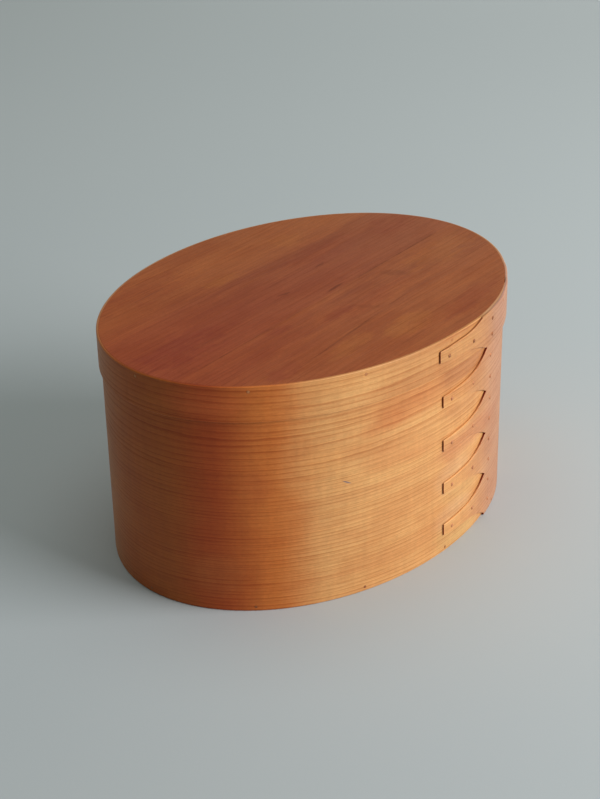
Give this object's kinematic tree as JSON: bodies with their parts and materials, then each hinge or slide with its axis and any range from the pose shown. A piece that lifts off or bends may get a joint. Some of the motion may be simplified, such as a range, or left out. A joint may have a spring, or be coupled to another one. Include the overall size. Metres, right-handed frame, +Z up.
{
  "type": "oval wooden box with lift-off lid",
  "caption": "Tall oval box of bent cherry bands with swallowtail fingers, copper tacks and a close-fitting lift-off lid.",
  "frame": {"origin": "centre of the oval on the underside of the bottom board, where the box stands", "axes": "+Z up, +X along the oval's length, the lap with its fingers on the -Y side"},
  "size_m": [0.32, 0.2377, 0.155],
  "materials": {
    "bent_cherry": "steam-bent cherry strip, satin clear finish",
    "cherry_board": "planed cherry board, satin clear finish",
    "copper": "darkened copper tack",
    "peg_wood": "end grain of a hardwood peg"
  },
  "bodies": {
    "box": {"box_band": "bent_cherry", "box_bottom": "cherry_board", "box_finger_tacks": "copper", "box_lap_tacks": "copper", "bottom_pegs": "peg_wood"},
    "lid": {"lid_band": "bent_cherry", "lid_top": "cherry_board", "lid_finger_tacks": "copper", "lid_lap_tacks": "copper", "lid_pegs": "peg_wood"}
  },
  "joints": [
    {"name": "lid_lift", "type": "slide", "parent": "box", "child": "lid", "axis": [0, 0, 1], "range_m": [0, 0.18]}
  ]
}
